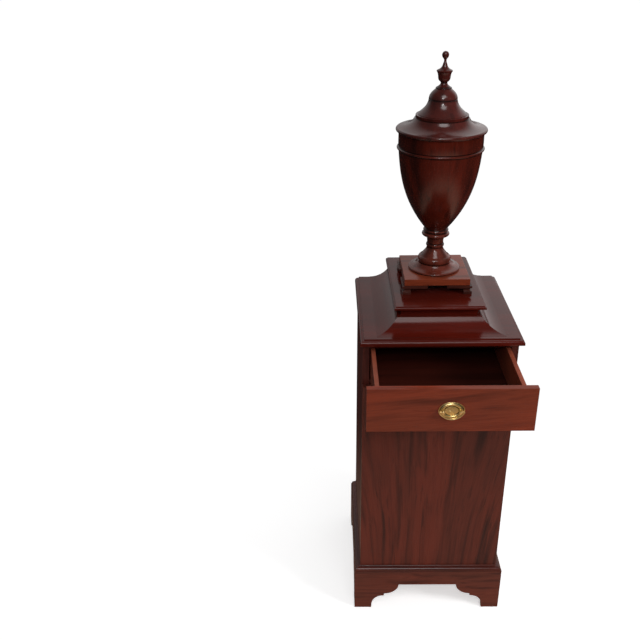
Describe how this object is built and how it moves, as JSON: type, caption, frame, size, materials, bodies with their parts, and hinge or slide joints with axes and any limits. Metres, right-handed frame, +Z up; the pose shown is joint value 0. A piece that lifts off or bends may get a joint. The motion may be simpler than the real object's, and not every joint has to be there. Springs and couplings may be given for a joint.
{
  "type": "knife urn on drawer pedestal",
  "caption": "Turned, lidded wooden knife urn on a tall pedestal with bracket feet, a drawer and a coved cap; the lid rises on a stem over pierced knife tiers.",
  "frame": {"origin": "centre of the base's footprint, on the floor", "axes": "+Z up, -Y towards the drawer front, +X to the right seen from the front"},
  "size_m": [0.432, 0.611, 1.5748],
  "materials": {
    "mahogany": "French-polished dark red mahogany",
    "figured_mahogany": "French-polished mahogany with dark figure",
    "red_mahogany": "polished lighter red mahogany",
    "inner_wood": "unpolished secondary wood",
    "brass": "aged lacquered brass"
  },
  "bodies": {
    "pedestal": {"base_front": "mahogany", "base_left": "mahogany", "base_right": "mahogany", "base_back": "inner_wood", "base_blocks": "inner_wood", "base_moulding_front": "mahogany", "base_moulding_left": "mahogany", "base_moulding_right": "mahogany", "case_left": "mahogany", "case_right": "mahogany", "case_back": "inner_wood", "case_bottom": "inner_wood", "front_panel": "figured_mahogany", "drawer_rail": "mahogany", "top_rail": "mahogany", "drawer_runners": "inner_wood", "drawer_kickers": "inner_wood", "top_board": "mahogany", "cove_front": "mahogany", "cove_left": "mahogany", "cove_right": "mahogany", "cap_core": "mahogany", "cap_slab": "mahogany"},
    "drawer": {"drawer_front": "figured_mahogany", "drawer_left": "red_mahogany", "drawer_right": "red_mahogany", "drawer_back": "red_mahogany", "drawer_bottom": "inner_wood", "pull_plate": "brass", "pull_posts": "brass", "pull_nuts": "brass"},
    "bail": {"pull_bail": "brass"},
    "urn": {"urn_feet": "red_mahogany", "urn_plinth": "red_mahogany", "urn_socle": "mahogany", "urn_bowl": "mahogany", "urn_band": "mahogany", "tier_low": "red_mahogany", "tier_middle": "red_mahogany", "tier_upper": "red_mahogany", "drum_low": "red_mahogany", "drum_upper": "red_mahogany", "stem_guide": "brass"},
    "lid": {"lid_cover": "mahogany", "lid_bell": "mahogany", "lid_finial": "mahogany", "lid_stem": "mahogany", "catch_pin": "brass"},
    "catch": {"lid_catch": "brass"}
  },
  "joints": [
    {"name": "drawer_slide", "type": "slide", "parent": "pedestal", "child": "drawer", "axis": [0, -1, 0], "range_m": [-0.2027, 0.05]},
    {"name": "bail_swing", "type": "hinge", "parent": "drawer", "child": "bail", "pos_m": [0, -0.401, 0.831], "axis": [-1, 0, 0], "range_deg": [0, 90]},
    {"name": "urn_lift", "type": "slide", "parent": "pedestal", "child": "urn", "axis": [0, 0, 1], "range_m": [0, 0.06]},
    {"name": "lid_rise", "type": "slide", "parent": "urn", "child": "lid", "axis": [0, 0, 1], "range_m": [0, 0.16]},
    {"name": "catch_swing", "type": "hinge", "parent": "lid", "child": "catch", "pos_m": [0, 0.0321, 1.2125], "axis": [-1, 0, 0], "range_deg": [0, 20]}
  ]
}
